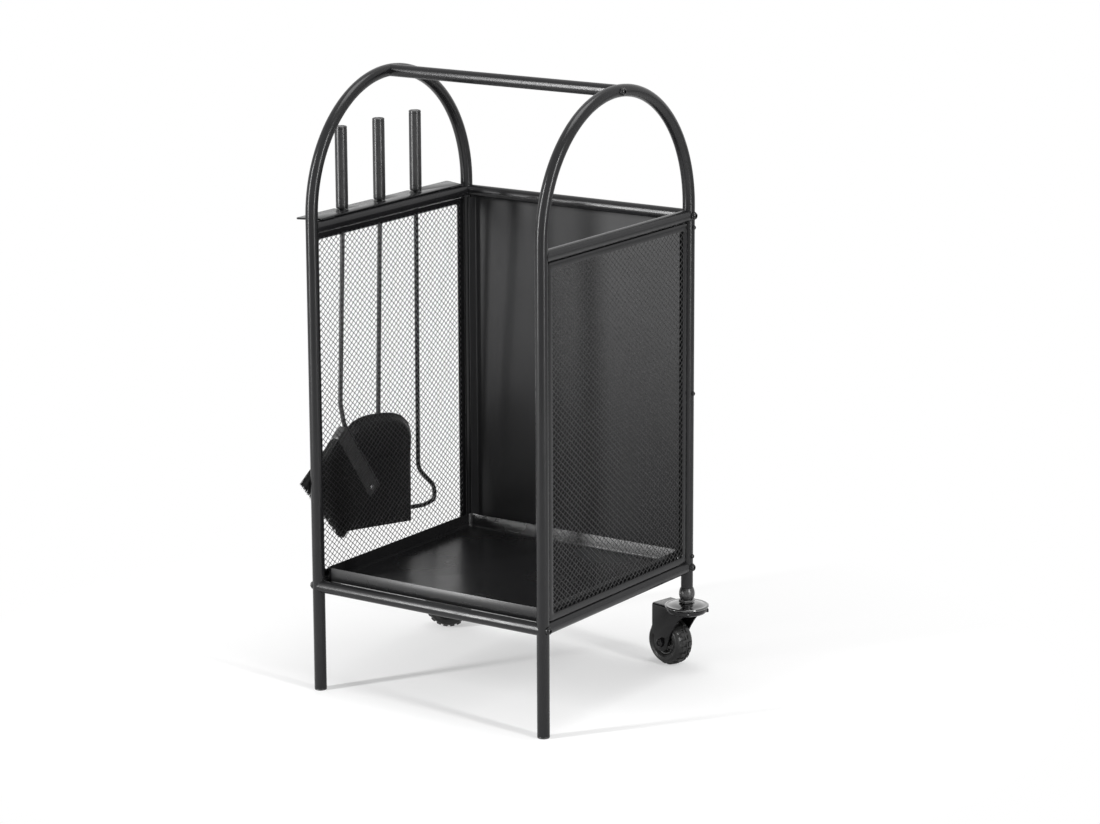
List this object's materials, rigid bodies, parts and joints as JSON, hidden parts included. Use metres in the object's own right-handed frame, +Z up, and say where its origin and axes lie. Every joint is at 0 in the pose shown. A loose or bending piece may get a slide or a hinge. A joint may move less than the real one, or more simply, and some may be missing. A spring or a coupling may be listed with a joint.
{
  "type": "fireside log cart",
  "caption": "Tall steel log cart with arched tube sides, mesh panels, tray, handle bar, rear swivel wheels and hanging hearth tools.",
  "frame": {"origin": "middle of the outline on the floor, under the cart", "axes": "+Z up, the open front faces -Y, the hanging tools are on the -X side"},
  "size_m": [0.4354, 0.3798, 0.8],
  "materials": {
    "powder_coat": "satin charcoal powder coat with a fine grain",
    "panel_coat": "smooth satin black powder coat",
    "wire_coat": "black coated wire mesh",
    "black_steel": "glossy black plated steel",
    "black_plastic": "satin black plastic",
    "bristle": "black bristle fibre",
    "tyre": "matt black moulded rubber"
  },
  "bodies": {
    "frame": {"left_hoop": "powder_coat", "left_top_side_rail": "powder_coat", "left_low_side_rail": "powder_coat", "left_mesh_frame": "powder_coat", "left_mesh": "wire_coat", "left_apex_bolt": "black_steel", "left_rear_top_bolt": "black_steel", "left_rear_low_bolt": "black_steel", "left_front_low_bolt": "black_steel", "left_back_screw_1": "black_steel", "left_back_screw_2": "black_steel", "left_back_screw_3": "black_steel", "left_caster_stem": "black_steel", "left_swivel_cup": "black_steel", "left_foot_plug": "black_plastic", "left_caster_socket": "black_plastic", "right_hoop": "powder_coat", "right_top_side_rail": "powder_coat", "right_low_side_rail": "powder_coat", "right_mesh_frame": "powder_coat", "right_mesh": "wire_coat", "right_apex_bolt": "black_steel", "right_rear_top_bolt": "black_steel", "right_rear_low_bolt": "black_steel", "right_front_low_bolt": "black_steel", "right_back_screw_1": "black_steel", "right_back_screw_2": "black_steel", "right_back_screw_3": "black_steel", "right_caster_stem": "black_steel", "right_swivel_cup": "black_steel", "right_foot_plug": "black_plastic", "right_caster_socket": "black_plastic", "handle_bar": "powder_coat", "rear_top_rail": "powder_coat", "rear_low_rail": "powder_coat", "front_low_rail": "powder_coat", "tool_holder": "powder_coat", "back_panel": "panel_coat", "tray": "panel_coat"},
    "brush": {"brush_handle": "powder_coat", "brush_rod": "powder_coat", "brush_block": "black_plastic", "brush_rivet": "black_steel", "brush_bristles": "bristle"},
    "shovel": {"shovel_handle": "powder_coat", "shovel_rod": "powder_coat", "shovel_pan": "panel_coat"},
    "poker": {"poker_handle": "powder_coat", "poker_rod": "powder_coat"},
    "left_swivel": {"left_fork": "black_steel", "left_axle_bolt": "black_steel", "left_axle_nut": "black_steel"},
    "left_wheel": {"left_wheel_hub": "black_plastic", "left_tyre": "tyre"},
    "right_swivel": {"right_fork": "black_steel", "right_axle_bolt": "black_steel", "right_axle_nut": "black_steel"},
    "right_wheel": {"right_wheel_hub": "black_plastic", "right_tyre": "tyre"}
  },
  "joints": [
    {"name": "left_swivel", "type": "hinge", "parent": "frame", "child": "left_swivel", "pos_m": [-0.16267, 0.16053, 0.085], "axis": [0, 0, 1], "continuous": true},
    {"name": "left_wheel_spin", "type": "hinge", "parent": "left_swivel", "child": "left_wheel", "pos_m": [-0.18724, 0.14332, 0.0325], "axis": [0.5736, -0.8192, 0], "continuous": true},
    {"name": "right_swivel", "type": "hinge", "parent": "frame", "child": "right_swivel", "pos_m": [0.18833, 0.16053, 0.085], "axis": [0, 0, 1], "continuous": true},
    {"name": "right_wheel_spin", "type": "hinge", "parent": "right_swivel", "child": "right_wheel", "pos_m": [0.15907, 0.16712, 0.0325], "axis": [-0.2198, -0.9755, 0], "continuous": true},
    {"name": "brush_out", "type": "slide", "parent": "frame", "child": "brush", "axis": [-1, 0, 0], "range_m": [0, 0.08]},
    {"name": "shovel_out", "type": "slide", "parent": "brush", "child": "shovel", "axis": [-1, 0, 0], "range_m": [0, 0.08]},
    {"name": "poker_out", "type": "slide", "parent": "shovel", "child": "poker", "axis": [-1, 0, 0], "range_m": [0, 0.08]}
  ]
}
